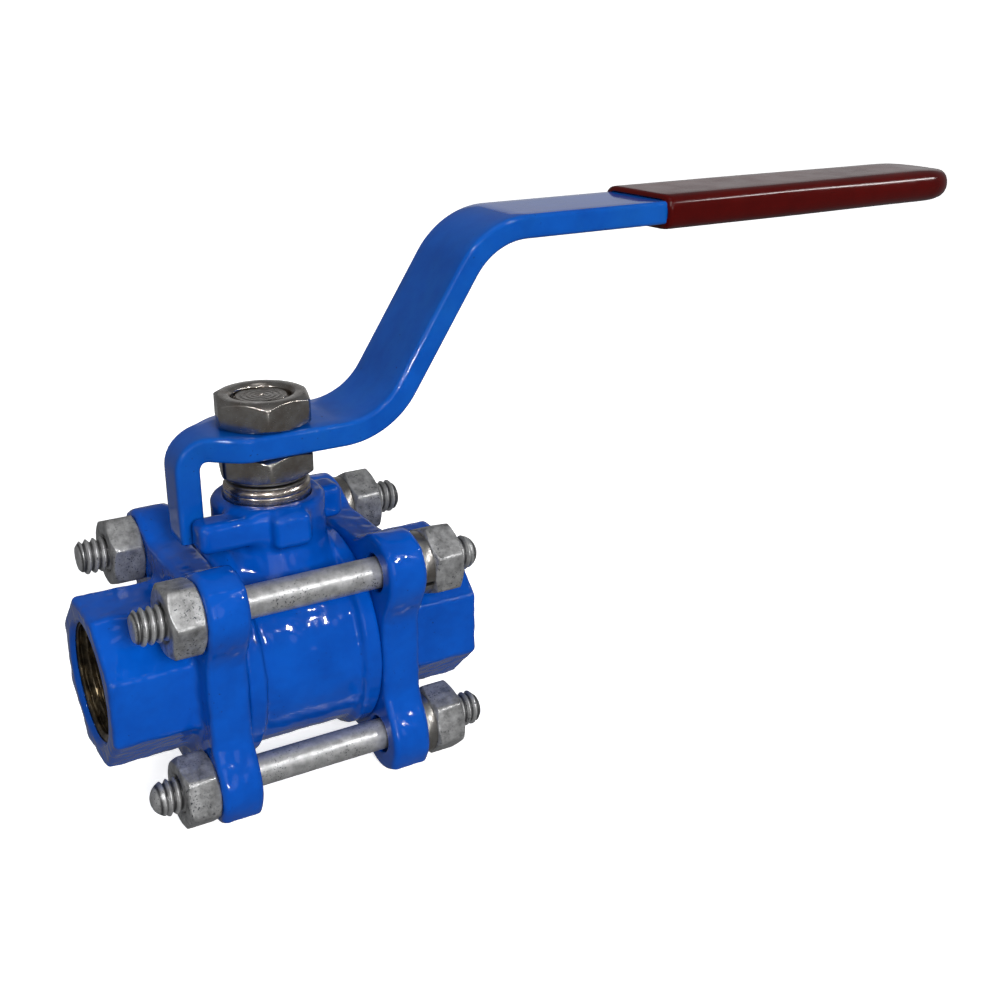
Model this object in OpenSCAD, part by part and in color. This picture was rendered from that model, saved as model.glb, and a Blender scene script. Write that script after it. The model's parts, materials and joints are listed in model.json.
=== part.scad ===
/* [Ports] */
// Distance between the two port mouths
port_span = 67; // [66:0.5:70]
// Diameter of the flow bore through the ball
bore_d = 13.5; // [12.5:0.25:13.75]
// Minor diameter of the half-inch pipe thread in each mouth
thread_minor_d = 18.63; // [18.2:0.01:19]
// Depth of the parallel thread behind the mouth chamfer
thread_depth = 12; // [10:0.1:12.5]
// Diameter of the chamfer at each mouth
mouth_d = 21.5; // [21:0.25:23]
// Octagon on each end cap, across its flats
octagon_af = 27.2; // [26.5:0.1:28]

/* [Center body] */
// Length of the center body between the end caps
body_l = 24.2; // [24:0.1:25]
// Diameter of the center body barrel
body_d = 34.2; // [33:0.1:34.5]
// Diameter of the flared rims at both ends of the barrel
rim_d = 36.7; // [35.5:0.1:37]
// Diameter of the cavity that holds the ball and the seats
cavity_d = 24.3; // [24:0.1:25]
// Height of the collar's top face above the flow axis
collar_z = 27.8; // [27.5:0.1:28.5]
// Outside diameter of the collar
collar_d = 19.4; // [18.5:0.1:19.8]

/* [End caps] */
// Thickness of the bolting flange and its ears
ear_t = 7; // [6:0.25:7.5]
// Radius of the round ears about the stud axes
ear_r = 6.7; // [6.5:0.1:7.2]
// Half width of the square web between the ears
web_half = 18.9; // [18.5:0.1:19.1]

/* [Studs and nuts] */
// Spacing of the four studs, along Y and along Z
stud_pitch = 31.5; // [31.4:0.1:32.4]
// Thread diameter of the studs
stud_d = 6.2; // [5.8:0.1:6.4]
// Diameter of the plain shank between the end caps
shank_d = 5.5; // [5:0.1:5.7]
// Distance of the left stud tips from the stem axis
left_tip = 29.4; // [28:0.1:30.5]
// Distance of the right stud tips from the stem axis
right_tip = 31.8; // [31:0.1:33]
// Stud nut size across its flats
stud_nut_af = 11.3; // [11:0.1:11.8]
// Height of a stud nut
stud_nut_t = 5.6; // [5:0.1:6.2]
// Thickness of a spring washer
spring_washer_t = 2; // [1.6:0.1:2.2]

/* [Ball and stem] */
// Diameter of the ball
ball_d = 22.5; // [22.2:0.1:22.7]
// Diameter of the stem, an M10 thread above the gland
stem_d = 10; // [9.6:0.1:10.4]
// Size across the two flats that drive the lever
stem_flat = 7.5; // [7:0.1:8]
// Height of the stem's top face above the flow axis
stem_top_z = 45; // [43.5:0.1:46]

/* [Lever] */
// Width of the lever bar
lever_w = 16.2; // [15.4:0.1:17]
// Thickness of the lever bar
lever_t = 4.2; // [3.6:0.1:4.6]
// Height of the lever's underside where it sits on the gland nut
lever_z = 36.1; // [35.8:0.1:36.6]
// Height of the raised arm's top face
arm_top_z = 72; // [66:0.5:78]
// Angle of the sloping part of the lever
slope_deg = 57; // [50:1:62]
// Where the vinyl grip begins, measured from the stem axis
grip_start = 75.3; // [70:0.1:80]
// Where the vinyl grip ends, measured from the stem axis
grip_end = 156; // [140:0.5:165]
// Wall of the vinyl grip
grip_wall = 1.1; // [0.9:0.1:1.4]
// Distance of the stop leg's outer face from the stem axis
leg_out = 16.6; // [16.3:0.05:16.7]
// Width of the stop leg
leg_w = 6.8; // [6:0.1:6.8]
// Height of the stop leg's lower end above the flow axis
leg_z = 22; // [21.9:0.1:23]

/* [Hidden] */
$fn = 64;
eps = 0.01;
// Radial clearance of a turning or screwed fit
fit = 0.05;
// Looser radial gaps: seats, studs in the ears, washers on the studs
seat_gap = 0.1;
ear_gap = 0.25;
washer_gap = 0.15;

half_span = port_span / 2;
body_half = body_l / 2;
ear_out = body_half + ear_t;
bore_r = bore_d / 2;
port_bore_r = bore_r + 2 * seat_gap;
socket_r = thread_minor_d / 2;
cavity_r = cavity_d / 2;
stud_at = stud_pitch / 2;
ball_r = ball_d / 2;
stem_r = stem_d / 2;

// Seals
seal_r = cavity_r + 1.5;
seal_t = 1.8;
seat_in = 7.2;

// Stem bore, from the shoulder pocket up to the packing box
pocket_r = 7.1;
pocket_z = 16.4;
washer_z = 14.9;
shoulder_r = 6.8;
shoulder_z = 12;
box_r = 7.45;
box_z = 19.8;
packing_t = 2.3;
gland_z = box_z + 2 * packing_t;
gland_top_z = 30.3;
disc_t = 0.6;
disc_r = 7;
gland_nut_z = gland_top_z + 2 * disc_t;
stem_nut_af = 15.2;
stem_nut_turn = 15;
lever_nut_z = lever_z + lever_t;
lever_nut_t = 5.2;

// Slot in the ball and the tang that turns it
slot_z = ball_r - 2.7;
slot_w = 3.8;
tang_w = 3.6;
tang_l = 9;
tang_z = slot_z + 0.3;

// Saddle between barrel and collar, clear of the end caps and the studs
saddle_r = min(body_half, stud_at - shank_d / 2) - 0.1;
saddle_z = body_d / 2 - 2.2;
saddle_h = 5.9;

// Open stop of the lever's leg, a block on the left of the collar
lug_z = 22;
lug_top_z = 27.2;
lug_in = leg_w / 2 + 0.3;
lug_out = 9.2;
lug_reach = 15.2;

// Short pad on the front of the collar
pad_half_w = 3.3;
pad_out = 11.6;
pad_z = 21.4;

// Corner lug: a right arm and, behind it, the closed stop
arm_in = 0.5;
arm_out = 6.4;
arm_z = 20;
arm_top = 26.1;
arm_reach = 14.4;
rear_reach = 14.2;

// Lever bends
bend_r = 12;
leg_bend_r = 1.6;
leg_in = leg_out - lever_t;
taper_end = 5.8;
foot_x = 18;
head_x = foot_x + (arm_top_z - lever_nut_z) / tan(slope_deg);
lever_end = grip_end - grip_wall;

STUD_SIDES = [[-1, -1], [-1, 1], [1, -1], [1, 1]];

// Round bar along X from x0 to x1
module bar_x(x0, x1, r) {
    translate([x0, 0, 0])
        rotate([0, 90, 0])
            cylinder(h = x1 - x0, r = r);
}

// Cone along X, radius r0 at x0 and r1 at x1
module cone_x(x0, x1, r0, r1) {
    translate([x0, 0, 0])
        rotate([0, 90, 0])
            cylinder(h = x1 - x0, r1 = r0, r2 = r1);
}

// Flat ring about Z
module ring_z(z0, z1, r_in, r_out) {
    translate([0, 0, z0])
        difference() {
            cylinder(h = z1 - z0, r = r_out);
            translate([0, 0, -eps])
                cylinder(h = z1 - z0 + 2 * eps, r = r_in);
        }
}

// A block given by its two opposite corners
module block(low, high) {
    translate(low)
        cube(high - low);
}

// The right-hand piece as drawn, or its mirror image on the left
module sided(side) {
    mirror([side < 0 ? 1 : 0, 0, 0])
        children();
}

// Places its child on all four stud axes
module at_studs() {
    for (s = STUD_SIDES)
        translate([0, s[0] * stud_at, s[1] * stud_at])
            children();
}

// Hexagon nut along Z with chamfered corners and a plain hole
module hex_nut(af, t, hole_r) {
    corner_r = af / sqrt(3);
    face_r = 0.485 * af;
    wide_r = corner_r + 0.3;
    chamfer = (wide_r - face_r) / 2;
    difference() {
        intersection() {
            cylinder(h = t, r = corner_r, $fn = 6);
            rotate_extrude()
                polygon([
                    [0, 0],
                    [face_r, 0],
                    [wide_r, chamfer],
                    [wide_r, t - chamfer],
                    [face_r, t],
                    [0, t]
                ]);
        }
        translate([0, 0, -eps])
            cylinder(h = t + 2 * eps, r = hole_r);
    }
}

// Barrel profile from the middle out to one flared rim, turned about the flow axis
module barrel() {
    rim_t = 1.3;
    flare_t = 3;
    rotate([0, 90, 0])
        rotate_extrude()
            polygon([
                [0, -body_half],
                [rim_d / 2, -body_half],
                [rim_d / 2, -body_half + rim_t],
                [body_d / 2, -body_half + flare_t],
                [body_d / 2, body_half - flare_t],
                [rim_d / 2, body_half - rim_t],
                [rim_d / 2, body_half],
                [0, body_half]
            ]);
}

module stop_lugs() {
    block([-lug_reach, -lug_out, lug_z], [0, -lug_in, lug_top_z]);
    block([-pad_half_w, -pad_out, pad_z], [pad_half_w, 0, lug_top_z]);
    block([0, arm_in, arm_z], [arm_reach, arm_out, arm_top]);
    block([lug_in, 0, lug_z], [lug_out, rear_reach, lug_top_z]);
}

module center_body() {
    color("royalblue")
    difference() {
        union() {
            barrel();
            cylinder(h = collar_z, d = collar_d);
            translate([0, 0, saddle_z])
                cylinder(h = saddle_h, r1 = saddle_r, r2 = collar_d / 2);
            stop_lugs();
        }
        bar_x(-body_half - eps, body_half + eps, cavity_r);
        bar_x(body_half - seal_t, body_half + eps, seal_r);
        bar_x(-body_half - eps, -body_half + seal_t, seal_r);
        cylinder(h = pocket_z, r = pocket_r);
        cylinder(h = box_z + eps, r = stem_r + fit);
        translate([0, 0, box_z])
            cylinder(h = collar_z - box_z + eps, r = box_r);
    }
}

// Square web with a round ear on each stud axis
module flange_outline() {
    square(2 * web_half, center = true);
    for (s = STUD_SIDES)
        translate([s[0] * stud_at, s[1] * stud_at])
            circle(r = ear_r);
}

module end_cap(side) {
    chamfer = mouth_d / 2 - socket_r;
    socket_x = half_span - chamfer - thread_depth;
    step = socket_r - port_bore_r;
    color("royalblue")
    sided(side)
    difference() {
        union() {
            translate([body_half, 0, 0])
                rotate([90, 0, 90])
                    linear_extrude(ear_t)
                        flange_outline();
            translate([ear_out - eps, 0, 0])
                rotate([0, 90, 0])
                    rotate([0, 0, 22.5])
                        cylinder(h = half_span - ear_out + eps, d = octagon_af / cos(22.5), $fn = 8);
        }
        bar_x(body_half - eps, half_span, port_bore_r);
        cone_x(socket_x - step, socket_x, port_bore_r, socket_r);
        bar_x(socket_x, half_span, socket_r);
        cone_x(half_span - chamfer, half_span + eps, socket_r, mouth_d / 2 + eps);
        at_studs()
            bar_x(body_half - eps, ear_out + eps, stud_d / 2 + ear_gap);
    }
}

module end_cap_left() {
    end_cap(-1);
}

module end_cap_right() {
    end_cap(1);
}

module ball() {
    color("silver")
    difference() {
        sphere(r = ball_r);
        bar_x(-ball_r, ball_r, bore_r);
        block([-slot_w / 2, -ball_r, slot_z], [slot_w / 2, ball_r, ball_r + 1]);
    }
}

// Seat ring cupped to the ball
module seat(side) {
    color("whitesmoke")
    sided(side)
    difference() {
        bar_x(seat_in, body_half, cavity_r - seat_gap);
        bar_x(seat_in - 1, body_half + 1, port_bore_r);
        sphere(r = ball_r + seat_gap);
    }
}

module seat_left() {
    seat(-1);
}

module seat_right() {
    seat(1);
}

module body_seal(side) {
    color("whitesmoke")
    sided(side)
    difference() {
        bar_x(body_half - seal_t, body_half, seal_r - fit);
        bar_x(0, body_half + 1, cavity_r + fit);
    }
}

module body_seal_left() {
    body_seal(-1);
}

module body_seal_right() {
    body_seal(1);
}

module stem() {
    color("silver") {
        block([-tang_w / 2, -tang_l / 2, tang_z], [tang_w / 2, tang_l / 2, shoulder_z + eps]);
        translate([0, 0, shoulder_z])
            cylinder(h = washer_z - shoulder_z, r = shoulder_r);
        translate([0, 0, washer_z - eps])
            cylinder(h = lever_z - washer_z + eps, r = stem_r);
        translate([0, 0, lever_z - eps])
            intersection() {
                cylinder(h = stem_top_z - lever_z + eps, r = stem_r);
                translate([-stem_d, -stem_flat / 2, 0])
                    cube([2 * stem_d, stem_flat, stem_top_z]);
            }
    }
}

module thrust_washer() {
    color("whitesmoke")
    ring_z(washer_z, pocket_z, stem_r + fit, pocket_r - seat_gap);
}

// Packing ring, counted from the bottom of the box
module packing_ring(index) {
    z = box_z + index * packing_t;
    color("whitesmoke")
    ring_z(z, z + packing_t, stem_r + fit, box_r - fit);
}

module packing_ring_lower() {
    packing_ring(0);
}

module packing_ring_upper() {
    packing_ring(1);
}

module gland_ring() {
    color("lightgray")
    ring_z(gland_z, gland_top_z, stem_r + fit, box_r - fit);
}

// Coned disc spring; flip 1 turns its hollow side up
module disc_spring(z, flip) {
    color("gray")
    translate([0, 0, z + disc_t / 2])
        mirror([0, 0, flip])
            rotate_extrude()
                polygon([
                    [stem_r + fit, -0.05],
                    [stem_r + fit, disc_t / 2],
                    [disc_r, 0.05],
                    [disc_r, -disc_t / 2]
                ]);
}

module disc_spring_lower() {
    disc_spring(gland_top_z, 0);
}

module disc_spring_upper() {
    disc_spring(gland_top_z + disc_t, 1);
}

module gland_nut() {
    color("lightgray")
    translate([0, 0, gland_nut_z])
        rotate([0, 0, stem_nut_turn])
            hex_nut(stem_nut_af, lever_z - gland_nut_z, stem_r + fit);
}

module lever_nut() {
    color("lightgray")
    translate([0, 0, lever_nut_z])
        rotate([0, 0, stem_nut_turn])
            hex_nut(stem_nut_af, lever_nut_t, stem_r + fit);
}

// Points on an arc about a center, from angle a0 to a1
function arc(center, r, a0, a1, steps = 8) =
    [for (i = [0 : steps]) center + r * [cos(a0 + (a1 - a0) * i / steps), sin(a0 + (a1 - a0) * i / steps)]];

// Side view of the bent bar: leg, plate, slope and arm
function lever_side() =
    let (
        outer_r = bend_r + lever_t,
        knee = [leg_bend_r - leg_in, lever_z - leg_bend_r],
        foot = [foot_x - bend_r * tan(slope_deg / 2), lever_nut_z + bend_r],
        head = [head_x + outer_r * tan(slope_deg / 2), arm_top_z - outer_r]
    )
    concat(
        [[-leg_out, leg_z]],
        arc(knee, leg_bend_r + lever_t, 180, 90),
        arc(foot, bend_r, -90, -90 + slope_deg),
        arc(head, outer_r, 90 + slope_deg, 90),
        [[lever_end, arm_top_z], [lever_end, arm_top_z - lever_t]],
        arc(head, bend_r, 90, 90 + slope_deg),
        arc(foot, outer_r, -90 + slope_deg, -90),
        arc(knee, leg_bend_r, 90, 180),
        [[-leg_in, leg_z]]
    );

// Plan view of the bar: narrow leg, taper to full width, round outer end
module lever_plan(grow) {
    half_w = lever_w / 2 + grow;
    end_x = lever_end + grow;
    polygon([
        [-leg_out - 1, -leg_w / 2],
        [-leg_in, -leg_w / 2],
        [-taper_end, -half_w],
        [end_x - half_w, -half_w],
        [end_x - half_w, half_w],
        [-taper_end, half_w],
        [-leg_in, leg_w / 2],
        [-leg_out - 1, leg_w / 2]
    ]);
    translate([end_x - half_w, 0])
        circle(r = half_w);
}

module lever() {
    color("royalblue")
    difference() {
        intersection() {
            translate([0, lever_w, 0])
                rotate([90, 0, 0])
                    linear_extrude(2 * lever_w)
                        polygon(lever_side());
            linear_extrude(arm_top_z + 1)
                lever_plan(0);
        }
        translate([0, 0, lever_z - 1])
            intersection() {
                cylinder(h = lever_t + 2, r = stem_r + fit);
                translate([-stem_d, -stem_flat / 2 - fit, -eps])
                    cube([2 * stem_d, stem_flat + 2 * fit, lever_t + 3]);
            }
    }
}

// Stretch of the bar under the grip, as a plate grown all round
module grip_plate(grow, half_h, start) {
    translate([0, 0, arm_top_z - lever_t / 2 - half_h])
        linear_extrude(2 * half_h)
            intersection() {
                lever_plan(grow);
                translate([start, -lever_w])
                    square([grip_end, 2 * lever_w]);
            }
}

// Dipped vinyl sleeve with stepped edges and a round tip
module lever_grip() {
    half_h = lever_t / 2 + grip_wall;
    edge = 0.6;
    color("darkred")
    difference() {
        union() {
            grip_plate(grip_wall - edge, half_h, grip_start);
            grip_plate(grip_wall, half_h - edge, grip_start);
        }
        grip_plate(0.02, lever_t / 2, grip_start - 1);
    }
}

// Stud with rolled threads at both ends, a plain shank and chamfered tips
module stud() {
    tip = 0.8;
    thread_in = body_half + 1.8;
    cone_x(-left_tip, -left_tip + tip, stud_d / 2 - tip, stud_d / 2);
    bar_x(-left_tip + tip, -thread_in, stud_d / 2);
    bar_x(-thread_in - eps, thread_in + eps, shank_d / 2);
    bar_x(thread_in, right_tip - tip, stud_d / 2);
    cone_x(right_tip - tip, right_tip, stud_d / 2, stud_d / 2 - tip);
}

module body_studs() {
    color("silver")
    at_studs()
        stud();
}

// Four nuts standing outward from x, each at its own angle
module stud_nuts(x, angles) {
    for (i = [0 : 3])
        translate([x, STUD_SIDES[i][0] * stud_at, STUD_SIDES[i][1] * stud_at])
            rotate([angles[i], 0, 0])
                rotate([0, 90, 0])
                    hex_nut(stud_nut_af, stud_nut_t, stud_d / 2 + fit);
}

module stud_nuts_left() {
    color("darkgray")
    stud_nuts(-ear_out - stud_nut_t, [49, 23, 5, 8]);
}

module stud_nuts_right() {
    color("darkgray")
    stud_nuts(ear_out + spring_washer_t, [47, 7, 16, 0]);
}

// Split spring washers under the right-hand nuts
module spring_washers() {
    washer_r = 5.5;
    half_gap = 0.35;
    color("darkgray")
    at_studs()
        difference() {
            bar_x(ear_out, ear_out + spring_washer_t, washer_r);
            bar_x(ear_out - eps, ear_out + spring_washer_t + eps, stud_d / 2 + washer_gap);
            block([ear_out - eps, -half_gap, 0], [ear_out + spring_washer_t + eps, half_gap, washer_r + 1]);
        }
}

center_body();
end_cap_left();
end_cap_right();
ball();
seat_left();
seat_right();
body_seal_left();
body_seal_right();
stem();
thrust_washer();
packing_ring_lower();
packing_ring_upper();
gland_ring();
disc_spring_lower();
disc_spring_upper();
gland_nut();
lever();
lever_grip();
lever_nut();
body_studs();
stud_nuts_left();
stud_nuts_right();
spring_washers();
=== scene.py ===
import json
import math

import bpy
import numpy as np
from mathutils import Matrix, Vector


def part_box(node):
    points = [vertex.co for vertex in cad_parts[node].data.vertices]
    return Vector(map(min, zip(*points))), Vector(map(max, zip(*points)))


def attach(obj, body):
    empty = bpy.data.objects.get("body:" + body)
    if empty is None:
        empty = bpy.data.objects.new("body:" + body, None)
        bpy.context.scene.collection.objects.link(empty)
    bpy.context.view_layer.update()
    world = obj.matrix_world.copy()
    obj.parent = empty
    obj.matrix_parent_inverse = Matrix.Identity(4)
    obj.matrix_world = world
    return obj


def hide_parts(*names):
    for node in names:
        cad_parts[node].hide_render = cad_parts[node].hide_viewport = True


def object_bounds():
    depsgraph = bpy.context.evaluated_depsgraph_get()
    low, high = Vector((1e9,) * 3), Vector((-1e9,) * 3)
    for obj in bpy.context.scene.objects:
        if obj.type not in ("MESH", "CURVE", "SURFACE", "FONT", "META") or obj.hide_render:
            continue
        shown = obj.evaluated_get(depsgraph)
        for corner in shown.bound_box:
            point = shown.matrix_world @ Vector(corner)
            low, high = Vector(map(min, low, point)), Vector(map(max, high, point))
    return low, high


# Looks of a half-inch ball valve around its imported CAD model. Shapes are worked out in
# millimetres in the frame of the CAD (X along the flow, Z up the stem) and scaled on the way in.

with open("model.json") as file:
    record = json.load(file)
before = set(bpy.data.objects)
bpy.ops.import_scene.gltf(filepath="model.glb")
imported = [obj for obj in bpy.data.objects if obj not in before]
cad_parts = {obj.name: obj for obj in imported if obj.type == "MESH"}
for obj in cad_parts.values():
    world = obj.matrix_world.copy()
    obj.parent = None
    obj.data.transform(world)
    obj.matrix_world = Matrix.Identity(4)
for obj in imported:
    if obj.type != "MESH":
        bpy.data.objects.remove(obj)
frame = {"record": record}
cad_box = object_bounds()

MM = 0.001
TURN = 2 * math.pi


def box_mm(node):
    """A CAD node's lowest and highest corners at rest, in millimetres."""
    low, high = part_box(node)
    return np.array(low) / MM, np.array(high) / MM


def heights(node):
    """A CAD node's lowest and highest Z, in millimetres."""
    low, high = box_mm(node)
    return low[2], high[2]


def mount(name):
    """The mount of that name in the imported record."""
    return next(m for m in frame["record"]["mounts"] if m["name"] == name)


# ---------------------------------------------------------------- sizes, in millimetres

BODY_HALF = box_mm("body_seal_right")[1][0]
RIM_R = box_mm("center_body")[1][1]
COLLAR_TOP = box_mm("center_body")[1][2]
CAP_OUT = box_mm("end_cap_right")[1][0]
EAR_OUT = box_mm("spring_washers")[0][0]
WASHER_OUT = box_mm("spring_washers")[1][0]
STUD_LEFT, STUD_RIGHT = box_mm("body_studs")[0][0], box_mm("body_studs")[1][0]
THREAD_MINOR_R = mount("port_right")["dims"]["r_mm"]
THREAD_DEEP = mount("port_right")["dims"]["length_mm"]
BORE_R = mount("flow_bore")["dims"]["r_mm"]

BARREL_R = 17.1
RIM_EDGE = 0.5
RIM_T = 2.6
FLARE_T = 3.8
COLLAR_R = 9.7
COLLAR_EDGE = 1.1
SADDLE_R = 11.8
SADDLE_Z = 14.9
SADDLE_TOP = 21.2
SADDLE_CONE = 0.4
SADDLE_EDGE = 1.0
SADDLE_LOW = 8
SADDLE_FILLET = 2.3
LUG_FILLET = 1.4
CAVITY_R = 12.15
SEAL_R = 13.65
SEAL_T = 1.8
SEAT_IN = 7.2
PORT_BORE_R = BORE_R + 0.2
BOX_R = 7.45
BOX_Z = 19.8
POCKET_R = 7.1
POCKET_Z = 16.4

BALL_R = 11.25
SLOT_HALF = 1.9
SLOT_Z = 8.55
STEM_R = 5.0
STEM_FLAT = 3.75
TANG = (1.8, 4.5)
SHOULDER_R = 6.8
SHOULDER_Z = (12.0, 14.9)

EAR_R = 6.7
STUD_R = 3.1
SHANK_R = 2.75
STUD_AT = box_mm("body_studs")[1][1] - STUD_R
STUD_HOLE_R = 3.35
WEB_HALF = 18.9
WEB_FILLET = 3.2
FLANGE_EDGE = 1.1
NECK_EDGE = 0.9
NECK_FILLET = 1.5
OCTAGON_HALF = 13.6
OCTAGON_EDGE = 1.6
MOUTH_R = 10.75
MOUTH_LIP = 0.9
STUD_PITCH = 1.27
THREAD_DEPTH = 0.64
DOME = 3.1
PORT_PITCH = 1.814
# One entry for each stud: the signs of its Y and Z, its left and right tips, how far its nuts
# stand turned, and where its spring washer is split, in degrees.
STUD_SIDES = [(-1, -1), (-1, 1), (1, -1), (1, 1)]
STUD_TIPS = [("dome", "flat"), ("flat", "dome"), ("flat", "flat"), ("flat", "flat")]
NUT_TURNS = {"left": [49, 23, 5, 8], "right": [47, 7, 16, 0]}
WASHER_GAPS = [70, 200, 110, 300]

NUT_AF = 11.3
STEM_NUT_AF = 15.2
STEM_NUT_TURN = 15
WASHER_R = (3.25, 5.5)
DISC_R = 7.0

LEG_W = 6.8
STOP_GAP = LEG_W / 2 + 0.3
# Each lug is a block: its low and high corners, and the radius of its edges.
OPEN_STOP = ((-15.2, -9.2, 22.0), (0, -STOP_GAP, 27.2), 1.4)
FRONT_PAD = ((-3.3, -11.6, 21.4), (3.3, 0, 27.2), 1.3)
CORNER_ARM = ((0, 0.5, 20.0), (14.4, 6.4, 26.1), 1.5)
CLOSED_STOP = ((STOP_GAP, 0, 22.0), (9.2, 14.2, 27.2), 1.3)


# ---------------------------------------------------------------- distance fields

def rise(value, start, end):
    """0 before start, 1 after end, smooth between."""
    t = np.clip((value - start) / (end - start), 0, 1)
    return t * t * (3 - 2 * t)


def join_round(a, b, r):
    """Union of two fields with a round fillet of radius r."""
    return np.maximum(r, np.minimum(a, b)) - np.hypot(np.maximum(r - a, 0), np.maximum(r - b, 0))


def meet_round(a, b, r):
    """Intersection of two fields with a round edge of radius r."""
    return np.minimum(-r, np.maximum(a, b)) + np.hypot(np.maximum(r + a, 0), np.maximum(r + b, 0))


def cut_round(a, b, r):
    """Field a with b taken away, and an edge of radius r."""
    return meet_round(a, -b, r)


def block(x, y, z, low, high, r):
    """Box between two corners, with edges of radius r."""
    size = (np.array(high) - np.array(low)) / 2 - r
    mid = (np.array(high) + np.array(low)) / 2
    q = [np.abs(v - m) - s for v, m, s in zip((x, y, z), mid, size)]
    outside = np.sqrt(sum(np.maximum(v, 0) ** 2 for v in q))
    return outside + np.minimum(np.maximum(np.maximum(q[0], q[1]), q[2]), 0) - r


def octagon(y, z, half, r):
    """Octagon across its flats 2 * half, with corners of radius r."""
    sector = TURN / 8
    turn = np.round(np.arctan2(z, y) / sector) * sector
    out = y * np.cos(turn) + z * np.sin(turn) - (half - r)
    side = np.abs(z * np.cos(turn) - y * np.sin(turn)) - (half - r) * math.tan(sector / 2)
    return np.minimum(out, 0) + np.hypot(np.maximum(out, 0), np.maximum(side, 0)) - r


def center_body_field(x, y, z):
    """Flanged barrel, collar on a coned saddle, stop lugs, and the bores inside."""
    flow, stem = np.hypot(y, z), np.hypot(x, y)
    flare = rise(np.abs(x), BODY_HALF - FLARE_T, BODY_HALF - RIM_T)
    barrel = flow - BARREL_R - (RIM_R - BARREL_R) * flare
    barrel = meet_round(barrel, np.abs(x) - BODY_HALF, RIM_EDGE)
    collar = meet_round(stem - COLLAR_R, z - COLLAR_TOP, COLLAR_EDGE)
    saddle_r = np.clip(SADDLE_R - (z - SADDLE_Z) * SADDLE_CONE, COLLAR_R, SADDLE_R)
    saddle = meet_round(stem - saddle_r, z - SADDLE_TOP, SADDLE_EDGE)
    tower = np.maximum(np.minimum(collar, saddle), SADDLE_LOW - z)
    solid = join_round(barrel, tower, SADDLE_FILLET)
    solid = np.maximum(solid, np.abs(x) - BODY_HALF)
    corner = np.minimum(block(x, y, z, *CORNER_ARM), block(x, y, z, *CLOSED_STOP))
    lugs = np.minimum(block(x, y, z, *OPEN_STOP), block(x, y, z, *FRONT_PAD))
    solid = join_round(solid, np.minimum(lugs, corner), LUG_FILLET)
    solid = np.maximum(solid, CAVITY_R - flow)
    seal_pocket = np.maximum(flow - SEAL_R, BODY_HALF - SEAL_T - np.abs(x))
    solid = np.maximum(solid, -seal_pocket)
    stem_pocket = np.maximum(stem - POCKET_R, np.abs(z - POCKET_Z / 2) - POCKET_Z / 2)
    solid = np.maximum(solid, -stem_pocket)
    solid = np.maximum(solid, -np.maximum(stem - STEM_R - 0.05, -z))
    return cut_round(solid, np.maximum(stem - BOX_R, BOX_Z - z), 0.4)


def end_cap_field(x, y, z):
    """Right end cap: flange with four ears, octagonal neck and bored mouth."""
    flow = np.hypot(y, z)
    ears = np.hypot(np.abs(y) - STUD_AT, np.abs(z) - STUD_AT)
    web = np.maximum(np.abs(y), np.abs(z)) - WEB_HALF
    outline = join_round(web, ears - EAR_R, WEB_FILLET)
    middle, half = (BODY_HALF + EAR_OUT) / 2, (EAR_OUT - BODY_HALF) / 2
    flange = meet_round(outline, np.abs(x - middle) - half, FLANGE_EDGE)
    neck = meet_round(octagon(y, z, OCTAGON_HALF, OCTAGON_EDGE), x - CAP_OUT, NECK_EDGE)
    solid = join_round(flange, np.maximum(neck, BODY_HALF + 1 - x), NECK_FILLET)
    in_lip = np.clip(CAP_OUT - x, 0, MOUTH_LIP)
    lip = np.where(x > CAP_OUT - MOUTH_LIP, 0.8 * in_lip, 0)
    mouth = np.maximum(flow - MOUTH_R - 0.15 + lip, CAP_OUT - THREAD_DEEP - 3.2 - x)
    solid = cut_round(solid, mouth, 0.3)
    solid = np.maximum(solid, PORT_BORE_R - flow)
    return cut_round(solid, ears - STUD_HOLE_R, 0.3)


def ball_field(x, y, z):
    """Ball with its through bore and the slot for the stem's tang."""
    radius = np.sqrt(x * x + y * y + z * z)
    solid = cut_round(radius - BALL_R, np.hypot(y, z) - BORE_R, 0.5)
    slot = np.maximum(np.abs(x) - SLOT_HALF, SLOT_Z - z)
    return cut_round(solid, slot, 0.2)


# ---------------------------------------------------------------- shapes: (points, faces)

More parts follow.
